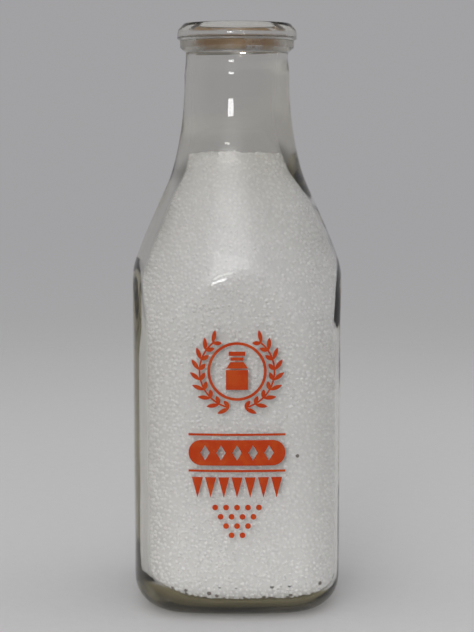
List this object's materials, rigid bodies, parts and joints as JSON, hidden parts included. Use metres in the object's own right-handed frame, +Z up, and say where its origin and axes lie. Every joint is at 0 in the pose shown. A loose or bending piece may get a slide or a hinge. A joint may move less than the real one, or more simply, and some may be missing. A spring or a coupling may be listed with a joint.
{
  "type": "milk bottle",
  "caption": "Square clear glass milk bottle with a round neck, a disc cap seat, an orange enamel print on the front panel and a loose fill of white foam beads.",
  "frame": {"origin": "on the floor under the bottle's axis", "axes": "+Z up along the bottle's axis to the mouth, the printed panel faces -Y, +X to the right as the print is read"},
  "size_m": [0.0876, 0.0877, 0.2413],
  "materials": {
    "clear_glass": "clear pressed and blown soda-lime glass with a faint grey-green tint, slightly wavy, worn at the heel",
    "foam_beads": "matte white expanded foam beads about 2 mm across",
    "orange_enamel": "fired orange-red ceramic colour, satin gloss, a little worn"
  },
  "bodies": {
    "root": {"bottle_glass": "clear_glass", "bead_fill": "foam_beads", "print_ring": "orange_enamel", "print_churn": "orange_enamel", "print_right_spray": "orange_enamel", "print_left_spray": "orange_enamel", "print_plate": "orange_enamel", "print_rules": "orange_enamel", "print_pennants": "orange_enamel", "print_dots": "orange_enamel"}
  },
  "joints": []
}
